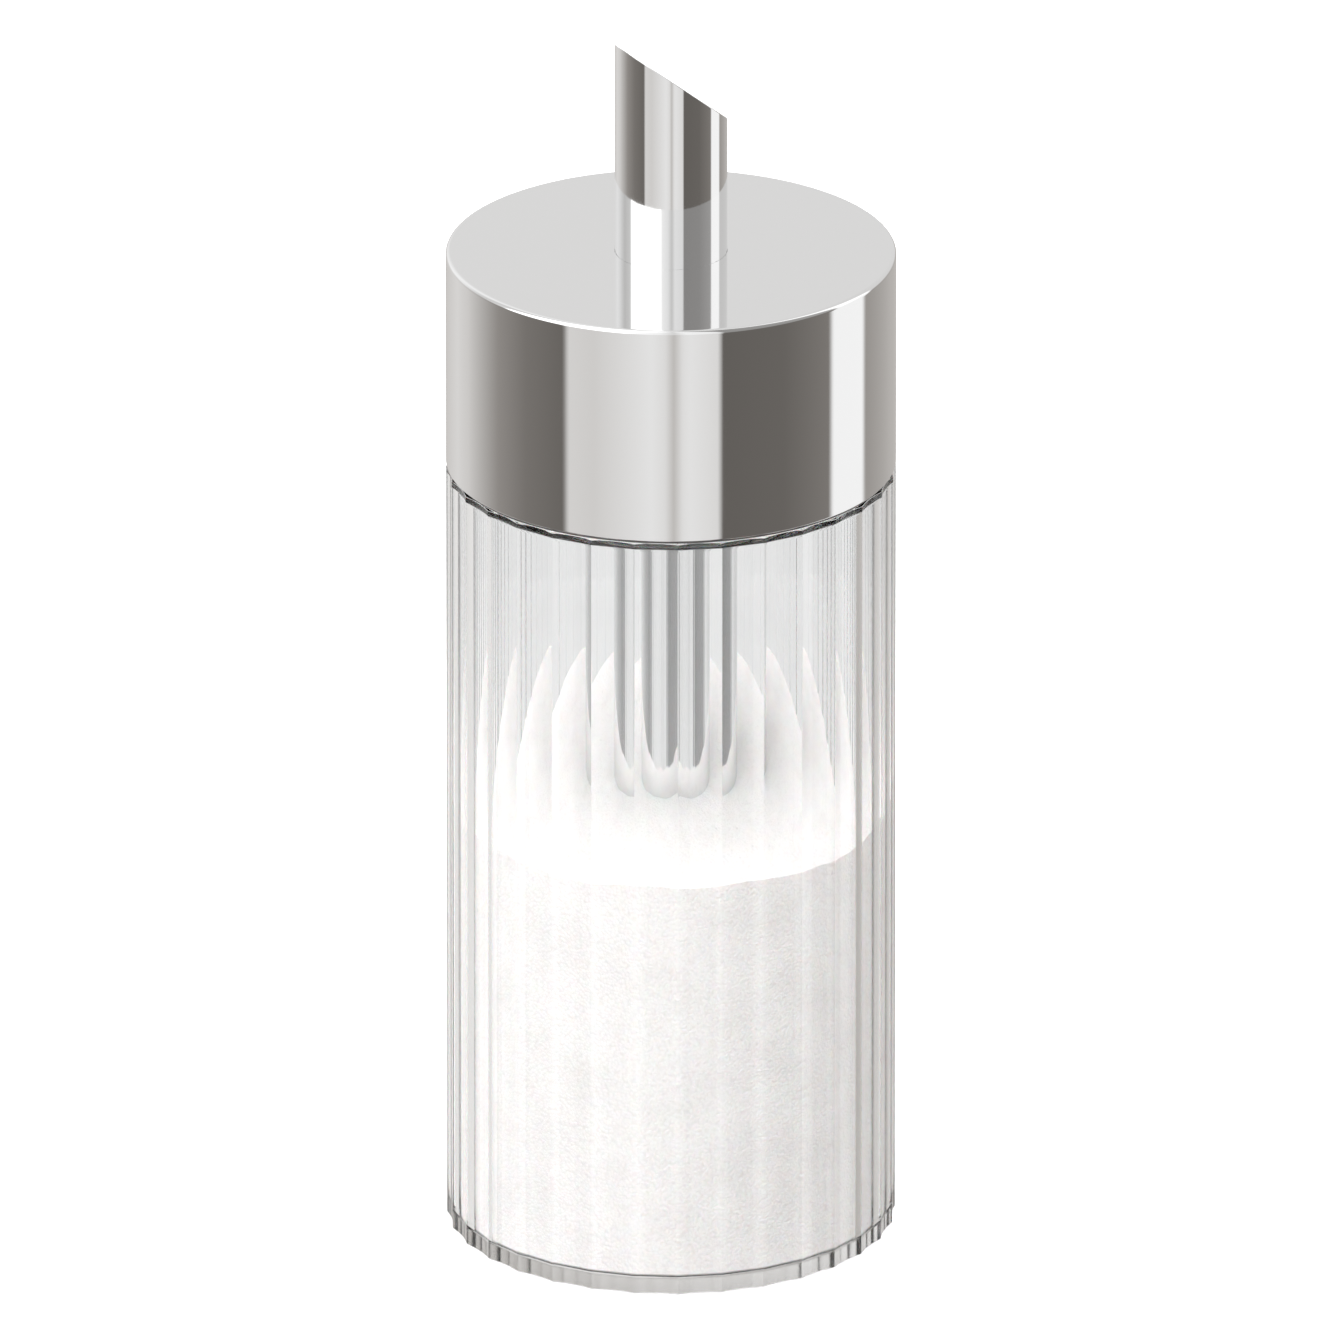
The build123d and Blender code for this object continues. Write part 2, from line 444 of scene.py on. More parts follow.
@dataclass(frozen=True)
class GranulatedSugar:
    """White granulated sugar: sharp small crystals whose faces keep the sugar's white, with
    painted shade darkening the gaps between them.
    """

    name: str = "granulated_sugar"
    slot: Slot = Slot.SUGAR
    # The gap colour is painted shade between the crystals; the crystal colour is the sugar's own.
    painted_gap_shade: tuple = (0.86, 0.835, 0.825)
    crystal: tuple = (0.95, 0.926, 0.918)
    painted_gap_shade_range: tuple = (0.35, 0.95)
    index: float = 1.54
    # The next two values paint a thin dark line of shade just above the glass floor, where the
    # sugar meets its corner.
    painted_corner_shade: float = 0.05
    painted_corner_shade_levels: tuple = (0.00188, 0.00218)
    clouds_per_metre: float = 170.0
    cloud_darkest: float = 0.94
    cloud_range: tuple = (0.3, 0.6)
    crystals_per_metre: float = 3000.0
    roughness: tuple = (0.25, 0.8)
    shine_range: tuple = (0.05, 0.35)
    grain_height: float = 0.0001
    grain_strength: float = 0.7
    glow: float = 0.25
    glow_depth: float = 0.001

    def brightness(self, shader: Shader) -> bpy.types.NodeSocket:
        """How bright the sugar is from place to place.

        Args:
            shader: the material's nodes.

        Returns:
            Soft clouds, and a thin line of painted shade low down, where the sugar meets the glass
            floor.
        """
        drift = shader.noise(self.clouds_per_metre)
        cloud = shader.spread(drift, self.cloud_darkest, 1.0, *self.cloud_range)
        height = shader.parts(shader.position())["Z"]
        # Painted shade: darker in a thin band low on the sugar, next to the glass floor.
        corner = shader.spread(height, self.painted_corner_shade, 1.0, *self.painted_corner_shade_levels)
        return shader.math("MULTIPLY", cloud, corner)

    def material(self) -> bpy.types.Material:
        """Builds the sugar.

        Returns:
            The material.
        """
        shader = Shader(self.name)
        sugar = shader.add("ShaderNodeBsdfPrincipled", IOR=self.index)
        sugar.inputs["Subsurface Weight"].default_value = self.glow
        sugar.inputs["Subsurface Scale"].default_value = self.glow_depth
        cells = shader.add("ShaderNodeTexVoronoi", Scale=self.crystals_per_metre, Randomness=1.0)
        shader.link(shader.position(), cells.inputs["Vector"])
        # Painted shade: darker towards the edge of each crystal cell, in the gaps between
        # crystals.
        crystal_tone_and_gap_shade = shader.tint(cells.outputs["Distance"], self.crystal, self.painted_gap_shade, *self.painted_gap_shade_range)
        scaled = shader.add("ShaderNodeVectorMath", operation="SCALE")
        shader.link(crystal_tone_and_gap_shade, scaled.inputs[0])
        shader.link(self.brightness(shader), scaled.inputs["Scale"])
        shader.link(scaled.outputs["Vector"], sugar.inputs["Base Color"])
        shine = shader.spread(cells.outputs["Color"], *self.roughness, *self.shine_range)
        shader.link(shine, sugar.inputs["Roughness"])
        facet = shader.spread(cells.outputs["Distance"], 1.0, 0.0, 0.0, 1.0)
        normal = shader.bump(facet, self.grain_height, self.grain_strength)
        shader.link(normal, sugar.inputs["Normal"])
        return shader.surface(sugar.outputs["BSDF"])


# Mesh helpers


def soften(bm: bmesh.types.BMesh, geometry: list, offset: float, segments: int,
           affect: str = "EDGES") -> None:
    """Rounds some edges or corners.

    Args:
        bm: the mesh that holds them.
        geometry: the edges or corners.
        offset: the width of the rounding on each side.
        segments: how many strips it has.
        affect: EDGES or VERTICES.
    """
    bmesh.ops.bevel(
        bm,
        geom=geometry,
        offset=offset,
        offset_type="OFFSET",
        segments=segments,
        profile=0.5,
        affect=affect,
        material=-1,
        clamp_overlap=True,
    )


def wire(bm: bmesh.types.BMesh, corners: list[tuple[float, float, float]],
         closed: bool) -> tuple[list, list]:
    """Draws a half section and rounds its corners.

    Args:
        bm: the mesh to draw in.
        corners: radius, height and corner rounding of each corner, in millimetres.
        closed: whether the last corner joins the first.

    Returns:
        The section's vertices and edges.
    """
    before_verts = set(bm.verts)
    before_edges = set(bm.edges)
    verts = [bm.verts.new((radius, 0.0, height)) for radius, height, _ in corners]
    pairs = list(zip(verts, verts[1:]))
    if closed:
        pairs.append((verts[-1], verts[0]))
    for first, second in pairs:
        bm.edges.new((first, second))
    for vert, (_, _, rounding) in zip(verts, corners):
        if rounding > 0.0:
            soften(bm, [vert], rounding, 5, "VERTICES")
    return (
        [vert for vert in bm.verts if vert not in before_verts],
        [edge for edge in bm.edges if edge not in before_edges],
    )


def lathe(bm: bmesh.types.BMesh, corners: list[tuple[float, float, float]], steps: int,
          closed: bool = True) -> None:
    """Spins a rounded half section round the upright axis.

    Args:
        bm: the mesh to spin in.
        corners: radius, height and corner rounding of each corner, in millimetres.
        steps: how many steps the full turn has.
        closed: whether the section closes on itself.
    """
    verts, edges = wire(bm, corners, closed)
    bmesh.ops.spin(
        bm,
        geom=verts + edges,
        cent=(0.0, 0.0, 0.0),
        axis=Z_AXIS,
        angle=2.0 * math.pi,
        steps=steps,
        use_merge=True,
    )


def slice_levels(bm: bmesh.types.BMesh, levels: list[float], nearest: float,
                 farthest: float) -> None:
    """Cuts extra level rings into the walls between two radii.

    Args:
        bm: the mesh to cut.
        levels: the heights of the cuts.
        nearest: the smallest radius of a wall that is cut.
        farthest: the largest radius of a wall that is cut.
    """
    for level in levels:
        wall = [
            face for face in bm.faces
            if nearest < face.calc_center_median().xy.length < farthest
            and min(v.co.z for v in face.verts) < level < max(v.co.z for v in face.verts)
        ]
        geometry = set(wall)
        for face in wall:
            geometry.update(face.edges)
            geometry.update(face.verts)
        bmesh.ops.bisect_plane(
            bm, geom=list(geometry), plane_co=(0.0, 0.0, level), plane_no=Z_AXIS, dist=1e-5
        )


def finish_mesh(bm: bmesh.types.BMesh, name: str, sharp_angle: float,
                weighted: bool = True) -> bpy.types.Object:
    """Welds a mesh, points it outwards, brings it to metres and makes its object.

    Args:
        bm: the mesh, in millimetres.
        name: the piece's name.
        sharp_angle: edges sharper than this many degrees stay crisp.
        weighted: whether large faces lead the smooth shading.

    Returns:
        The new object at the origin.
    """
    bmesh.ops.remove_doubles(bm, verts=bm.verts, dist=WELD)
    bmesh.ops.recalc_face_normals(bm, faces=bm.faces)
    bmesh.ops.scale(bm, vec=(MM, MM, MM), verts=bm.verts)
    mesh = bpy.data.meshes.new(name)
    bm.to_mesh(mesh)
    bm.free()
    mesh.shade_smooth()
    mesh.set_sharp_from_angle(angle=math.radians(sharp_angle))
    piece = bpy.data.objects.new(name, mesh)
    bpy.context.scene.collection.objects.link(piece)
    if weighted:
        modifier = piece.modifiers.new("even_shading", "WEIGHTED_NORMAL")
        modifier.keep_sharp = True
        modifier.weight = 80
    return piece


def place(piece: bpy.types.Object, body: Body, finish: object, *nodes: str) -> bpy.types.Object:
    """Gives a piece its finish and body, and hides the nodes that it stands for.

    Args:
        piece: the piece.
        body: the body it moves with.
        finish: the finish, with a material and a slot.
        *nodes: the nodes that it replaces.

    Returns:
        The same piece.
    """
    piece.data.materials.clear()
    piece.data.materials.append(finish.material())
    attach(piece, body.value)
    if nodes:
        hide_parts(*nodes)
    LOG.info("%s: %d faces", piece.name, len(piece.data.polygons))
    return piece


@dataclass(frozen=True)
class ScrewRidge:
    """About one turn of the screw, raised on a smooth wall by moving its vertices.

    It climbs from the height start. Root and crest are its widths, and low, high and
    rings say where the wall is cut into fine rings.
    """

    side: Side
    start: float
    turns: float
    root: float
    crest: float
    depth: float
    low: float
    high: float
    rings: int
    wall_band: float = 0.05
    pitch: float = 4.0
    start_turn: float = 45.0
    fade_turn: float = 24.0

    def height_at(self, angle: float, level: float) -> float:
        """How far the ridge stands off the wall at a place.

        Args:
            angle: degrees round the axis.
            level: height above the table.

        Returns:
            The distance off the wall.
        """
        tallest = 0.0
        for lap in range(math.ceil(self.turns) + 1):
            travelled = (angle - self.start_turn) % 360.0 + 360.0 * lap
            left = self.turns * 360.0 - travelled
            if left < 0.0:
                continue
            away = abs(level - self.start - self.pitch * travelled / 360.0)
            flank = (self.root - self.crest) / 2.0
            share = min(max((self.root / 2.0 - away) / flank, 0.0), 1.0)
            fade = min(travelled, left, self.fade_turn) / self.fade_turn
            soft = share * share * (3.0 - 2.0 * share)
            tallest = max(tallest, self.depth * soft * math.sin(fade * math.pi / 2.0))
        return tallest

    def raise_on(self, bm: bmesh.types.BMesh, wall: float) -> None:
        """Cuts fine rings into a wall and moves its vertices out to the ridge.

        Args:
            bm: the mesh that has the wall.
            wall: the wall's radius.
        """
        rise = (self.high - self.low) / self.rings
        levels = [self.low + rise * number for number in range(self.rings + 1)]
        slice_levels(bm, levels, wall - self.wall_band, wall + self.wall_band)
        for vert in bm.verts:
            radius = vert.co.xy.length
            if abs(radius - wall) > NEAR:
                continue
            angle = math.degrees(math.atan2(vert.co.y, vert.co.x))
            grown = radius + self.side.value * self.height_at(angle, vert.co.z)
            vert.co.x *= grown / radius
            vert.co.y *= grown / radius


# The object's pieces


@dataclass
class GlassJar:
    """The fluted jar with its round bore, sloping shoulder and threaded neck."""

    finish: ClearGlass = field(default_factory=ClearGlass)
    flutes: int = 32
    flute_turn: float = 6.7
    flute_depth: float = 0.26
    flute_steps: int = 16
    radius: float = 25.0
    shoulder: float = 89.6
    cone_foot: float = 23.6
    ridge_rounding: float = 0.05
    foot_rounding: float = 0.3
    shoulder_rounding: float = 0.1
    rounding_strips: int = 3
    neck_radius: float = 21.0
    neck_foot_rounding: float = 0.9
    neck_top: float = 103.0
    rim_rounding: float = 0.9
    mouth_radius: float = 18.8
    mouth_rounding: float = 0.8
    bore_radius: float = 24.02
    bore_top: float = 88.8
    bore_rounding: float = 0.35
    shoulder_rise: float = 1.3
    floor: float = 1.5
    floor_rounding: float = 0.5
    round_steps: int = 256
    ring_gap: float = 0.02
    sharp_angle: float = 25.0
    thread: ScrewRidge = ScrewRidge(
        side=Side.OUT,
        start=94.5,
        turns=1.0,
        root=2.4,
        crest=1.0,
        depth=1.1,
        low=93.0,
        high=100.0,
        rings=48,
    )

    def fluted_radius(self, angle: float) -> float:
        """The radius of the fluted wall in a direction.

        Args:
            angle: degrees round the axis.

        Returns:
            The distance from the axis.
        """
        share = 360.0 / self.flutes
        away = math.radians((angle - self.flute_turn) % share - share / 2.0)
        half = math.radians(share / 2.0)
        chord = self.radius * math.sin(half)
        curve = (chord ** 2 + self.flute_depth ** 2) / (2.0 * self.flute_depth)
        centre = self.radius * math.cos(half) - self.flute_depth + curve
        reach = curve ** 2 - (centre * math.sin(away)) ** 2
        return centre * math.cos(away) - math.sqrt(reach)

    def outside(self, bm: bmesh.types.BMesh) -> None:
        """Makes the fluted wall and the flat underside, open at the top.

        Args:
            bm: the mesh to build in.
        """
        turn = Matrix.Rotation(math.radians(self.flute_turn), 4, "Z")
        made = bmesh.ops.create_cone(
            bm,
            cap_ends=True,
            segments=self.flutes * self.flute_steps,
            radius1=self.radius,
            radius2=self.radius,
            depth=self.shoulder,
            matrix=Matrix.Translation((0.0, 0.0, self.shoulder / 2.0)) @ turn,
        )
        for vert in made["verts"]:
            angle = math.degrees(math.atan2(vert.co.y, vert.co.x))
            scale = self.fluted_radius(angle) / vert.co.xy.length
            vert.co.x *= scale
            vert.co.y *= scale
        ridges = {
            edge for vert in made["verts"] for edge in vert.link_edges
            if abs(edge.verts[0].co.z - edge.verts[1].co.z) > 1.0
            and vert.co.xy.length > self.radius - NEAR
        }
        soften(bm, list(ridges), self.ridge_rounding, self.rounding_strips)
        rings = ((0.0, self.foot_rounding), (self.shoulder, self.shoulder_rounding))
        for level, rounding in rings:
            ring = [
                edge for edge in bm.edges
                if all(abs(vert.co.z - level) < WELD for vert in edge.verts)
            ]
            soften(bm, ring, rounding, self.rounding_strips)
        caps = [face for face in bm.faces if len(face.verts) > self.flutes]
        upper = max(caps, key=lambda face: face.calc_center_median().z)
        bmesh.ops.delete(bm, geom=[upper], context="FACES_ONLY")

    def open_ring(self, bm: bmesh.types.BMesh, nearest: float, farthest: float) -> list:
        """The open edges that lie between two distances from the axis.

        Args:
            bm: the mesh.
            nearest: the smaller distance.
            farthest: the larger distance.

        Returns:
            The edges.
        """
        return [
            edge for edge in bm.edges
            if edge.is_boundary
            and all(nearest < vert.co.xy.length < farthest for vert in edge.verts)
        ]

    def build(self) -> bpy.types.Object:
        """Builds and dresses the jar.

        Returns:
            The piece.
        """
        bm = bmesh.new()
        self.outside(bm)
        rise = self.cone_foot - self.neck_radius
        lathe(
            bm,
            [
                (self.cone_foot, self.shoulder, 0.0),
                (self.neck_radius, self.shoulder + rise, self.neck_foot_rounding),
                (self.neck_radius, self.neck_top, self.rim_rounding),
                (self.mouth_radius, self.neck_top, self.rim_rounding),
                (self.mouth_radius, self.bore_top + self.shoulder_rise, self.mouth_rounding),
                (self.bore_radius, self.bore_top, self.bore_rounding),
                (self.bore_radius, self.floor, self.floor_rounding),
                (0.0, self.floor, 0.0),
            ],
            self.round_steps,
            False,
        )
        bmesh.ops.remove_doubles(bm, verts=bm.verts, dist=WELD)
        divide = self.cone_foot + self.ring_gap
        inner_ring = self.open_ring(bm, 0.0, divide)
        outer_ring = self.open_ring(bm, divide, self.radius)
        bmesh.ops.bridge_loops(bm, edges=inner_ring + outer_ring)
        self.thread.raise_on(bm, self.neck_radius)
        piece = finish_mesh(bm, "glass_jar", self.sharp_angle)
        return place(piece, Body.JAR, self.finish, "jar")


@dataclass
class SugarFill:
    """The sugar: it fills the jar to a sloping, slightly uneven top round the tube."""

    finish: GranulatedSugar = field(default_factory=GranulatedSugar)
    radius: float = 23.97
    floor: float = 1.52
    floor_rounding: float = 0.6
    centre_height: float = 53.2
    slope: float = 11.4
    slope_turn: float = 64.0
    crown: float = 0.0037
    swell_scale: float = 0.11
    swell_height: float = 0.5
    swell_seed: float = 4.0
    lump_scale: float = 0.4
    lump_height: float = 0.14
    lump_seed: float = 9.0
    tube_room: float = 6.24
    tube_end: float = 13.9
    dose_radius: float = 5.35
    dose_height: float = 34.0
    round_steps: int = 256
    top_rings: int = 56
    sharp_angle: float = 40.0

    def top_at(self, x: float, y: float) -> float:
        """The height of the sugar's top at a place.

        Args:
            x: across, in millimetres.
            y: along, in millimetres.

        Returns:
            The height.
        """
        turn = math.radians(self.slope_turn)
        along = x * math.cos(turn) + y * math.sin(turn)
        across = y * math.cos(turn) - x * math.sin(turn)
        height = self.centre_height + along * math.tan(math.radians(self.slope))
        height -= self.crown * across * across
        wide = Vector((x * self.swell_scale, y * self.swell_scale, self.swell_seed))
        small = Vector((x * self.lump_scale, y * self.lump_scale, self.lump_seed))
        swell = noise.noise(wide) * self.swell_height
        lumps = noise.noise(small) * self.lump_height
        return height + swell + lumps

    def build(self) -> bpy.types.Object:
        """Builds and dresses the sugar.

        Returns:
            The piece.
        """
        bm = bmesh.new()
        lathe(
            bm,
            [
                (0.0, self.floor, 0.0),
                (self.radius, self.floor, self.floor_rounding),
                (self.radius, self.centre_height, 0.0),
                (self.tube_room, self.centre_height, 0.0),
                (self.tube_room, self.tube_end, 0.0),
                (self.dose_radius, self.tube_end, 0.0),
                (self.dose_radius, self.dose_height, 0.0),
                (0.0, self.dose_height, 0.0),
            ],
            self.round_steps,
            False,
        )
        bmesh.ops.remove_doubles(bm, verts=bm.verts, dist=WELD)
        spokes = [
            edge for edge in bm.edges
            if all(abs(vert.co.z - self.centre_height) < WELD for vert in edge.verts)
            and abs(edge.verts[0].co.xy.length - edge.verts[1].co.xy.length) > 1.0
        ]
        bmesh.ops.subdivide_edges(bm, edges=spokes, cuts=self.top_rings, use_grid_fill=True)
        for vert in bm.verts:
            if abs(vert.co.z - self.centre_height) < WELD:
                vert.co.z = self.top_at(vert.co.x, vert.co.y)
        piece = finish_mesh(bm, "sugar", self.sharp_angle, False)
        return place(piece, Body.JAR, self.finish, "sugar_fill")


@dataclass
class Lid:
    """The steel shell, its liner, and the small rings that seal it and hold the tube."""

    steel: PolishedSteel = field(default_factory=PolishedSteel)
    plastic: Mottled = MOULDED_PLASTIC
    silicone: Mottled = SILICONE
    spring: Mottled = SPRING_STEEL
    radius: float = 25.0
    rim: float = 90.0
    top: float = 115.0
    sheet: float = 0.6
    top_rounding: float = 0.5
    hole_radius: float = 6.26
    flange_radius: float = 24.7
    flange_low: float = 89.7
    groove_radius: float = 24.4
    groove_low: float = 89.9
    mouth_radius: float = 23.75
    liner_radius: float = 24.35
    liner_bore: float = 22.5
    web_low: float = 104.5
    web_high: float = 106.0
    boss_radius: float = 8.75
    boss_top: float = 111.5
    gland_radius: float = 7.85
    gland_floor: float = 109.5
    rib_count: int = 8
    rib_thickness: float = 1.2
    rib_rounding: float = 0.15
    rib_overlap: float = 0.3
    rib_sink: float = 0.1
    seal_inner: float = 18.7
    seal_outer: float = 21.1
    seal_low: float = 103.0
    seal_rounding: float = 0.25
    round_steps: int = 256
    shell_sharp_angle: float = 30.0
    liner_sharp_angle: float = 35.0
    seal_sharp_angle: float = 40.0
    thread: ScrewRidge = ScrewRidge(
        side=Side.IN,
        start=92.5,
        turns=1.2,
        root=2.2,
        crest=0.9,
        depth=1.0,
        low=91.2,
        high=98.8,
        rings=52,
    )

    def build_shell(self) -> bpy.types.Object:
        """Builds and dresses the drawn steel shell.

        Returns:
            The piece.
        """
        inner = self.radius - self.sheet
        ceiling = self.top - self.sheet
        bm = bmesh.new()
        lathe(
            bm,
            [
                (self.hole_radius, self.top, 0.02),
                (self.radius, self.top, self.top_rounding),
                (self.radius, self.rim, 0.15),
                (inner, self.rim, 0.1),
                (inner, ceiling, 0.1),
                (self.hole_radius, ceiling, 0.02),
            ],
            self.round_steps,
        )
        piece = finish_mesh(bm, "lid_shell", self.shell_sharp_angle)
        return place(piece, Body.LID, self.steel, "cap_shell")

    def build_liner(self) -> bpy.types.Object:
        """Builds and dresses the moulded liner with its thread, boss and ribs.

        Returns:
            The piece.
        """
        ceiling = self.top - self.sheet
        lead_in = self.mouth_radius - self.liner_bore
        bm = bmesh.new()
        lathe(
            bm,
            [
                (self.flange_radius, self.flange_low, 0.08),
                (self.flange_radius, self.groove_low, 0.08),
                (self.groove_radius, self.groove_low, 0.0),
                (self.groove_radius, self.rim, 0.0),
                (self.liner_radius, self.rim, 0.0),
                (self.liner_radius, ceiling, 0.9),
                (self.liner_bore, ceiling, 0.2),
                (self.liner_bore, self.web_high, 0.5),
                (self.boss_radius, self.web_high, 0.4),
                (self.boss_radius, self.boss_top, 0.2),
                (self.gland_radius, self.boss_top, 0.15),
                (self.gland_radius, self.gland_floor, 0.1),
                (self.hole_radius, self.gland_floor, 0.1),
                (self.hole_radius, self.web_low, 0.15),
                (self.liner_bore, self.web_low, 0.3),
                (self.liner_bore, self.flange_low + lead_in, 0.3),
                (self.mouth_radius, self.flange_low, 0.12),
            ],
            self.round_steps,
        )
        self.thread.raise_on(bm, self.liner_bore)
        self.add_ribs(bm, ceiling)
        piece = finish_mesh(bm, "lid_liner", self.liner_sharp_angle)
        return place(piece, Body.LID, self.plastic, "cap_liner")

    def add_ribs(self, bm: bmesh.types.BMesh, ceiling: float) -> None:
        """Stands the ribs on the web between the boss and the skirt.

        Args:
            bm: the liner's mesh.
            ceiling: the height that the ribs reach.
        """
        reach = self.liner_bore - self.boss_radius + self.rib_overlap
        middle = (self.liner_bore + self.boss_radius) / 2.0
        tall = ceiling - self.web_high + self.rib_sink
        for number in range(self.rib_count):
            turn = Matrix.Rotation(2.0 * math.pi * number / self.rib_count, 4, "Z")
            shift = Matrix.Translation((middle, 0.0, ceiling - tall / 2.0))
            size = Matrix.Diagonal((reach, self.rib_thickness, tall, 1.0))
            made = bmesh.ops.create_cube(bm, size=1.0, matrix=turn @ shift @ size)
            edges = {edge for vert in made["verts"] for edge in vert.link_edges}
            soften(bm, list(edges), self.rib_rounding, 2)

    def build_seal(self) -> bpy.types.Object:
        """Builds and dresses the flat washer on the glass rim.

        Returns:
            The piece.
        """
        bm = bmesh.new()
        lathe(
            bm,
            [
                (self.seal_outer, self.seal_low, self.seal_rounding),
                (self.seal_outer, self.web_low, self.seal_rounding),
                (self.seal_inner, self.web_low, self.seal_rounding),
                (self.seal_inner, self.seal_low, self.seal_rounding),
            ],
            self.round_steps,
        )
        piece = finish_mesh(bm, "rim_seal", self.seal_sharp_angle)
        return place(piece, Body.SEAL, self.silicone, "seal_ring")

    def dress_rings(self) -> None:
        """Dresses the two small rings inside the lid, whose own shapes stay."""
        for name, finish in (("tube_ring", self.silicone), ("lock_ring", self.spring)):
            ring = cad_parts[name]
            ring.data.materials.clear()
            ring.data.materials.append(finish.material())
            LOG.info("%s: dressed", name)

    def build(self) -> None:
        """Builds every piece of the lid."""
        self.build_shell()
        self.build_liner()
        self.build_seal()
        self.dress_rings()


@dataclass
class DosingTube:
    """The thin steel tube with its bead and its slanted mouth."""

    finish: PolishedSteel = field(default_factory=PolishedSteel)
    radius: float = 6.25
    wall: float = 0.6
    low: float = 14.2
    bead_centre: float = 103.2
    bead_depth: float = 0.8
    bead_half: float = 1.3
    bead_rounding: float = 0.5
    axis_height: float = 135.0
    tip_height: float = 140.0
    mouth_zone: float = 1.0
    edge_rounding: float = 0.14
    round_steps: int = 192
    sharp_angle: float = 30.0

    def wall_line(self, radius: float) -> list[tuple[float, float, float]]:
        """One side of the tube's wall, from its lower end to its mouth.

        Args:
            radius: the wall's radius above and below the bead.

        Returns:
            Radius, height and rounding of each corner.
        """
        return [
            (radius, self.low, self.edge_rounding),
            (radius, self.bead_centre - self.bead_half, self.bead_rounding),
            (radius + self.bead_depth, self.bead_centre, self.bead_rounding),
            (radius, self.bead_centre + self.bead_half, self.bead_rounding),
            (radius, self.axis_height, self.edge_rounding),
        ]

    def build(self) -> bpy.types.Object:
        """Builds and dresses the tube.

        Returns:
            The piece.
        """
        bm = bmesh.new()
        outer = self.wall_line(self.radius)
        inner = self.wall_line(self.radius - self.wall)
        lathe(bm, outer + inner[::-1], self.round_steps)
        slope = (self.tip_height - self.axis_height) / self.radius
        for vert in bm.verts:
            if vert.co.z > self.axis_height - self.mouth_zone:
                vert.co.z -= slope * vert.co.x
        piece = finish_mesh(bm, "dosing_tube_bright", self.sharp_angle)
        return place(piece, Body.LID, self.finish, "dosing_tube")


# The studio


class Surround(NodeBuilder):
    """White surround with broad soft panels, which differ with how their light arrives.

    Each list of panels holds pairs of degrees from the camera's side and brightness.
    """

    low_panels: tuple = (
        (-180.0, 0.55), (-142.0, 0.80), (-128.0, 0.73), (-100.0, 0.33), (-80.0, 0.22),
        (-57.0, 0.17), (-54.0, 0.80), (-40.0, 0.76), (-10.0, 0.95), (-3.0, 0.88),
        (1.5, 0.62), (6.0, 0.90), (10.0, 0.94), (24.5, 0.85), (26.5, 0.15), (60.0, 0.165),
        (89.0, 0.24), (92.0, 1.10), (116.0, 1.10), (119.0, 0.38), (150.0, 0.52), (180.0, 0.55),
    )
    high_panels: tuple = (
        (-180.0, 0.83), (-142.0, 1.08), (-128.0, 0.98), (-110.0, 0.72), (-92.0, 0.85),
        (-88.0, 2.10), (-22.0, 2.10), (-19.0, 1.26), (-6.0, 1.10), (1.5, 0.80), (8.0, 1.10),
        (24.5, 1.03), (26.5, 0.35), (60.0, 0.37), (89.0, 0.48), (92.0, 1.36), (116.0, 1.36),
        (119.0, 0.80), (150.0, 0.81), (180.0, 0.83),
    )
    through_panels: tuple = (
        (-180.0, 0.84), (-145.0, 0.84), (-128.0, 0.81), (-100.0, 0.56), (-57.0, 0.34),
        (-54.0, 0.94), (-10.0, 1.02), (1.5, 0.84), (10.0, 1.00), (24.5, 0.94), (26.5, 0.34),
        (89.0, 0.42), (92.0, 0.96), (114.0, 0.96), (122.0, 0.79), (150.0, 0.83), (180.0, 0.84),
    )
    rim_panels: tuple = (
        (-180.0, 0.74), (-120.0, 0.82), (-60.0, 0.78), (-10.0, 0.70), (10.0, 0.60),
        (60.0, 0.45), (120.0, 0.48), (180.0, 0.74),
    )
    inner_panels: tuple = (
        (-180.0, 1.52), (-120.0, 1.64), (-60.0, 1.36), (0.0, 1.10), (60.0, 0.82),
        (120.0, 1.20), (180.0, 1.52),
    )
    panel_blend: float = 0.12
    inner_sky: tuple = (2.1, 2.1, 2.1, 1.0)
    inner_sky_range: tuple = (0.1, 0.7)
    rim_depth: float = 2.5
    warmth: float = 0.09
    high_warmth: float = 0.03
    white: tuple = (1.0, 1.0, 1.0, 1.0)
    soft_light: float = 1.35

    def __init__(self, azimuth: float) -> None:
        """Makes the world and finds where a ray looks, seen from the camera's side.

        Args:
            azimuth: degrees of the camera's side.
        """
        world = bpy.data.worlds.new("studio_surround")
        bpy.context.scene.world = world
        world.use_nodes = True
        super().__init__(world.node_tree)
        turn = self.add("ShaderNodeVectorRotate", rotation_type="Z_AXIS",
                        Angle=math.radians(90.0 - azimuth))
        direction = self.add("ShaderNodeTexCoord").outputs["Generated"]
        self.link(direction, turn.inputs["Vector"])
        parts = self.parts(turn.outputs["Vector"])
        angle = self.math("ARCTAN2", parts["Y"], parts["X"])
        self.share = self.spread(angle, 0.0, 1.0, -math.pi, math.pi)
        self.upward = parts["Z"]
        self.path = self.add("ShaderNodeLightPath").outputs

    def ramp(self, panels: tuple, warmth: float) -> bpy.types.NodeSocket:
        """Adds the brightness of the surround as it goes round.

        Args:
            panels: pairs of degrees from the camera's side and brightness.
            warmth: how much warmer the darker panels are.

        Returns:
            The colour's socket.
        """
        node = self.add("ShaderNodeValToRGB")
        stops = node.color_ramp.elements
        while len(stops) < len(panels):
            stops.new(0.5)
        for stop, (degrees, level) in zip(stops, panels):
            stop.position = (degrees + 180.0) / 360.0
            warm = 1.0 - warmth * max(1.0 - level, 0.0)
            stop.color = (level, level * warm, level * warm * warm, 1.0)
        self.link(self.share, node.inputs["Fac"])
        return node.outputs["Color"]

    def mirrored(self) -> bpy.types.NodeSocket:
        """What the polished steel mirrors.

        Returns:
            The colour's socket.
        """
        low = self.ramp(self.low_panels, self.warmth)
        high = self.ramp(self.high_panels, self.high_warmth)
        lift = self.spread(self.upward, 0.0, 1.0, -self.panel_blend, self.panel_blend)
        return self.mix(lift, low, high)

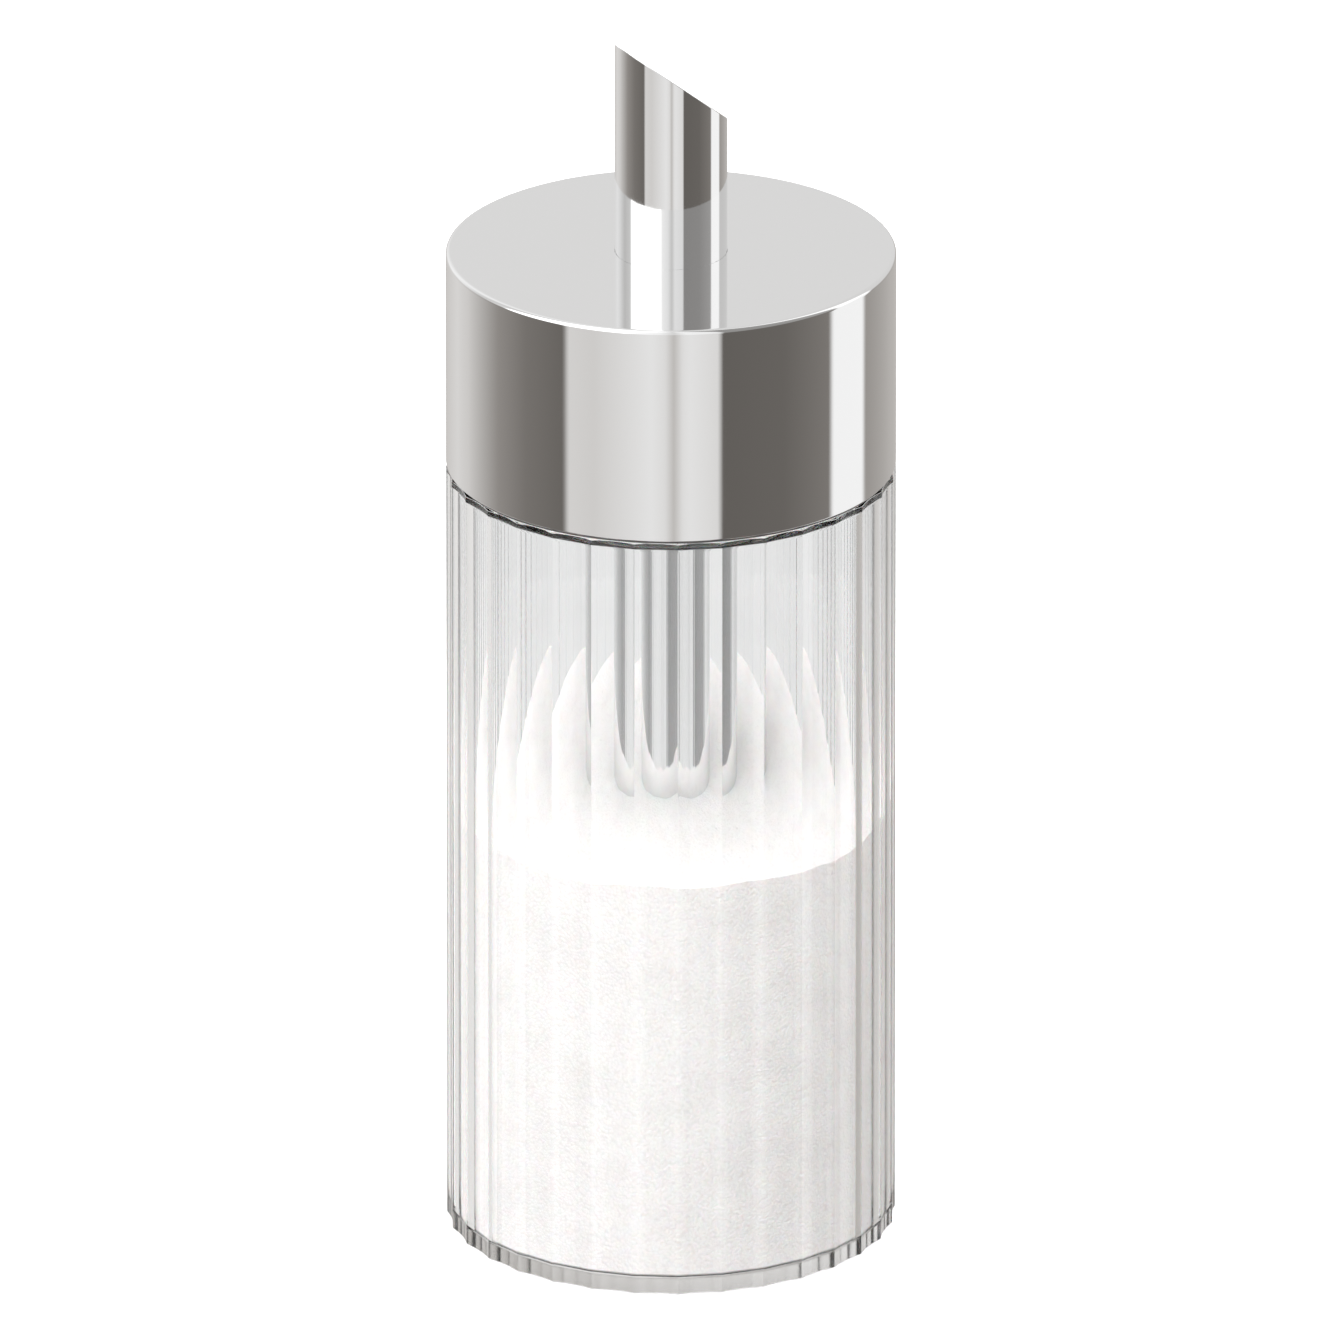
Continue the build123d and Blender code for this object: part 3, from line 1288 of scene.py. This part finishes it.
    def through_glass(self) -> bpy.types.NodeSocket:
        """What arrives through the glass: seen through it, at its rims, and on the sugar.

        Returns:
            The colour's socket.
        """
        through = self.ramp(self.through_panels, 0.0)
        rim = self.ramp(self.rim_panels, self.warmth)
        inner = self.ramp(self.inner_panels, self.warmth)
        shallow = self.math("LESS_THAN", self.path["Transmission Depth"], self.rim_depth)
        seen = self.mix(shallow, through, rim)
        climb = self.spread(self.upward, 0.0, 1.0, *self.inner_sky_range)
        on_sugar = self.mix(climb, inner, self.inner_sky)
        return self.mix(self.path["Diffuse Depth"], seen, on_sugar)

    def build(self) -> None:
        """Joins the panels to a plain white for what the camera and matt surfaces see."""
        colour = self.mix(self.path["Is Transmission Ray"], self.mirrored(), self.through_glass())
        panels = self.add("ShaderNodeBackground")
        self.link(colour, panels.inputs["Color"])
        plain = self.add("ShaderNodeBackground", Color=self.white, Strength=self.soft_light)
        either = self.math("MAXIMUM", self.path["Is Camera Ray"], self.path["Is Diffuse Ray"])
        choose = self.add("ShaderNodeMixShader")
        self.link(either, choose.inputs[0])
        self.link(panels.outputs["Background"], choose.inputs[1])
        self.link(plain.outputs["Background"], choose.inputs[2])
        output = self.add("ShaderNodeOutputWorld")
        self.link(choose.outputs["Shader"], output.inputs["Surface"])


@dataclass(frozen=True)
class Lamp:
    """A soft square lamp that only lights: nothing sees or mirrors it."""

    name: str
    place: tuple
    side: float
    watts: float
    aim: tuple = (0.0, 0.0, 0.06)

    def hang(self) -> None:
        """Hangs the lamp so that it looks at the object."""
        data = bpy.data.lights.new(self.name, "AREA")
        data.shape = "SQUARE"
        data.size = self.side
        data.energy = self.watts
        lamp = bpy.data.objects.new(self.name, data)
        lamp.location = self.place
        ahead = Vector(self.aim) - Vector(self.place)
        lamp.rotation_euler = ahead.to_track_quat("-Z", "Y").to_euler()
        lamp.visible_glossy = False
        lamp.visible_transmission = False
        lamp.visible_camera = False
        bpy.context.scene.collection.objects.link(lamp)


@dataclass
class Studio:
    """Pale floor, white surround, soft lamps and the camera."""

    azimuth: float = -28.9
    elevation: float = 21.74
    distance: float = 6.13
    aim_height: float = 0.0647
    lens: float = 1479.0
    sensor: float = 36.0
    clip_start: float = 0.1
    clip_end: float = 100.0
    floor_size: float = 30.0
    floor_drop: float = 0.0001
    floor_colour: tuple = (0.9, 0.9, 0.9, 1.0)
    floor_roughness: float = 0.9
    overhead: Lamp = Lamp("overhead", (0.0, 0.0, 1.6), 1.6, 30.0)
    side: Lamp = Lamp("side", (-1.2, -0.9, 0.9), 1.0, 2.5)

    def floor(self) -> None:
        """Lays the plain pale floor."""
        bm = bmesh.new()
        bmesh.ops.create_grid(bm, x_segments=1, y_segments=1, size=self.floor_size / 2.0)
        bmesh.ops.translate(bm, verts=bm.verts, vec=(0.0, 0.0, -self.floor_drop))
        mesh = bpy.data.meshes.new("floor")
        bm.to_mesh(mesh)
        bm.free()
        floor = bpy.data.objects.new("floor", mesh)
        bpy.context.scene.collection.objects.link(floor)
        shader = Shader("pale_floor")
        paint = shader.add("ShaderNodeBsdfPrincipled", Base_Color=self.floor_colour,
                           Roughness=self.floor_roughness)
        mesh.materials.append(shader.surface(paint.outputs["BSDF"]))
        floor.visible_glossy = False
        floor.visible_transmission = False

    def camera(self) -> None:
        """Puts the camera at the photograph's angle."""
        turn = math.radians(self.azimuth)
        rise = math.radians(self.elevation)
        away = Vector((
            math.sin(turn) * math.cos(rise),
            -math.cos(turn) * math.cos(rise),
            math.sin(rise),
        ))
        aim = Vector((0.0, 0.0, self.aim_height))
        data = bpy.data.cameras.new("camera")
        data.lens = self.lens
        data.sensor_width = self.sensor
        data.clip_start = self.clip_start
        data.clip_end = self.clip_end
        camera = bpy.data.objects.new("camera", data)
        camera.location = aim + away * self.distance
        camera.rotation_euler = (-away).to_track_quat("-Z", "Y").to_euler()
        bpy.context.scene.collection.objects.link(camera)
        bpy.context.scene.camera = camera

    def set_light_paths(self) -> None:
        """Lets light pass the many walls of glass, and keeps the colours plain."""
        scene = bpy.context.scene
        scene.view_settings.view_transform = "Standard"
        scene.view_settings.look = "None"
        scene.cycles.max_bounces = 24
        scene.cycles.transmission_bounces = 20
        scene.cycles.glossy_bounces = 10
        scene.cycles.diffuse_bounces = 5
        scene.cycles.transparent_max_bounces = 20
        scene.cycles.caustics_reflective = True
        scene.cycles.caustics_refractive = True

    def build(self) -> None:
        """Sets up the whole studio."""
        Surround(self.azimuth).build()
        self.floor()
        self.overhead.hang()
        self.side.hang()
        self.camera()
        self.set_light_paths()


def main() -> None:
    """Builds the studio and every piece of the dispenser."""
    Studio().build()
    GlassJar().build()
    SugarFill().build()
    Lid().build()
    DosingTube().build()


if __name__ == "__main__":
    main()
